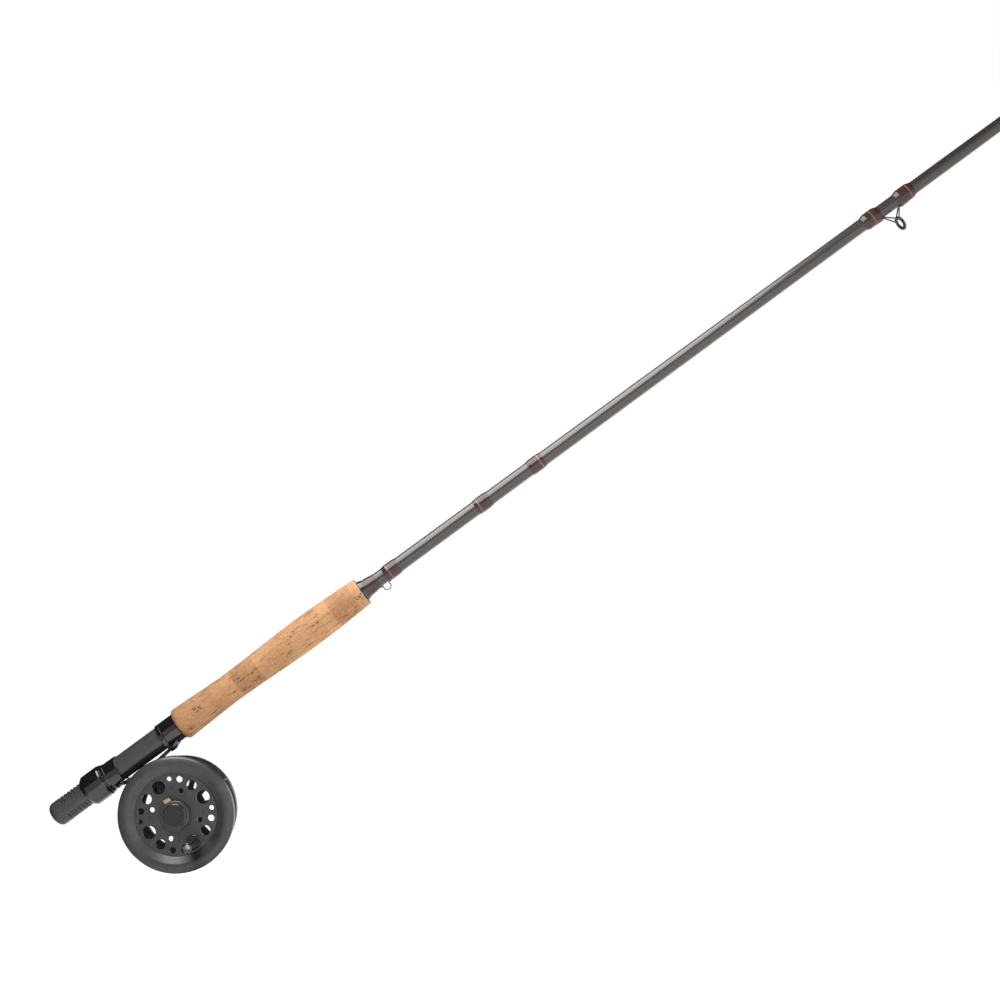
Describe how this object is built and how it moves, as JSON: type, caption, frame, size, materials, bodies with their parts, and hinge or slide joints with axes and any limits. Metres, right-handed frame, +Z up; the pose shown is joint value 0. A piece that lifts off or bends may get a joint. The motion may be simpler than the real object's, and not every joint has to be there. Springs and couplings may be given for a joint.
{
  "type": "fishing rod and reel",
  "caption": "Two-piece fly fishing rod with cork grip, screw-lock reel seat and a single-action reel with perforated spool and click drag.",
  "frame": {"origin": "centre of the butt end's flat face, on the rod's axis", "axes": "+X along the rod from butt to tip, +Z up with the reel hanging below, reel handle towards -Y"},
  "size_m": [2.4389, 0.0644, 0.1074],
  "materials": {
    "seat_satin": "satin moulded plastic",
    "hood_gloss": "glossy moulded plastic",
    "arbor": "foam arbor",
    "steel": "machined steel",
    "cork": "sanded natural cork",
    "check": "gloss black ring",
    "blank": "clear-coated brown-grey fibre blank",
    "wrap_thread": "burgundy thread under clear epoxy",
    "trim_thread": "gold trim thread under clear epoxy",
    "keeper_wire": "fine steel wire",
    "guide_black": "black coated wire",
    "guide_ring": "polished dark ceramic",
    "guide_chrome": "hard chrome wire",
    "reel_frame": "satin black anodised",
    "reel_spool": "satin black anodised",
    "hub_gloss": "gloss black",
    "brass": "machined brass",
    "knob": "black moulded plastic"
  },
  "bodies": {
    "rod_and_reel_frame": {"butt_cap": "seat_satin", "reel_seat_barrel": "seat_satin", "seat_arbors": "arbor", "fixed_hood": "hood_gloss", "cork_grip": "cork", "winding_check": "check", "butt_blank": "blank", "hosel_wrap": "wrap_thread", "hook_keeper": "keeper_wire", "keeper_wrap": "wrap_thread", "lower_wrap": "wrap_thread", "upper_wrap": "wrap_thread", "trim_bands": "trim_thread", "stripping_guide_wraps": "wrap_thread", "stripping_guide_frame": "guide_black", "stripping_guide_ring": "guide_ring", "snake_guide_1": "guide_chrome", "snake_guide_wraps": "wrap_thread", "frame_plate": "reel_frame", "frame_ring": "reel_frame", "frame_pillars": "reel_frame", "foot_bridge": "reel_frame", "reel_foot": "reel_frame", "foot_screws": "steel", "spindle": "steel", "spindle_nut": "steel", "pawl_post": "brass", "click_spring": "steel"},
    "hood": {"sliding_hood": "hood_gloss", "hood_washer": "hood_gloss"},
    "nut": {"lock_nut": "hood_gloss"},
    "spool": {"front_flange": "reel_spool", "spool_arbor": "reel_spool", "rear_flange": "reel_spool", "spool_bushings": "brass", "click_gear": "brass", "hub_cap": "hub_gloss", "latch_spring": "steel", "handle_post": "brass", "handle_collar": "hub_gloss"},
    "latch": {"latch_plate": "brass"},
    "handle": {"handle_knob": "knob"},
    "pawl": {"click_pawl": "steel"},
    "adjuster": {"click_knob": "knob"},
    "tip_section": {"tip_blank": "blank", "snake_guide_2": "guide_chrome", "snake_guide_3": "guide_chrome", "snake_guide_4": "guide_chrome", "snake_guide_5": "guide_chrome", "snake_guide_6": "guide_chrome", "snake_guide_7": "guide_chrome", "snake_guide_8": "guide_chrome", "tip_section_wraps": "wrap_thread", "tip_top": "guide_chrome"}
  },
  "joints": [
    {"name": "hood_slide", "type": "slide", "parent": "rod_and_reel_frame", "child": "hood", "axis": [-1, 0, 0], "range_m": [0, 0.01401]},
    {"name": "nut_spin", "type": "hinge", "parent": "hood", "child": "nut", "pos_m": [0.04, 0, 0], "axis": [-1, 0, 0], "range_deg": [0, 1680]},
    {"name": "spool_spin", "type": "hinge", "parent": "rod_and_reel_frame", "child": "spool", "pos_m": [0.0772, 0, -0.052], "axis": [0, 1, 0], "continuous": true},
    {"name": "latch_press", "type": "slide", "parent": "spool", "child": "latch", "axis": [-0.1392, 0, -0.9903], "range_m": [0, 0.0013], "stiffness_N_per_m": 600, "springref_m": -0.001, "deforming": ["latch_spring"]},
    {"name": "handle_spin", "type": "hinge", "parent": "spool", "child": "handle", "pos_m": [0.07607, 0, -0.07597], "axis": [0, 1, 0], "continuous": true},
    {"name": "pawl_lift", "type": "hinge", "parent": "rod_and_reel_frame", "child": "pawl", "pos_m": [0.06813, 0, -0.04384], "axis": [0, -1, 0], "range_deg": [0, 10], "stiffness_Nm_per_rad": 0.05, "springref_deg": -11.46, "deforming": ["click_spring"]},
    {"name": "click_adjust", "type": "hinge", "parent": "rod_and_reel_frame", "child": "adjuster", "pos_m": [0.07099, 0, -0.02882], "axis": [0, 1, 0], "range_deg": [0, 270]},
    {"name": "ferrule_pull", "type": "slide", "parent": "rod_and_reel_frame", "child": "tip_section", "axis": [1, 0, 0], "range_m": [0, 0.053]}
  ],
  "couplings": [
    {"joint": "hood_slide", "follows": "nut_spin", "m_per_rad": 0.00047746}
  ]
}
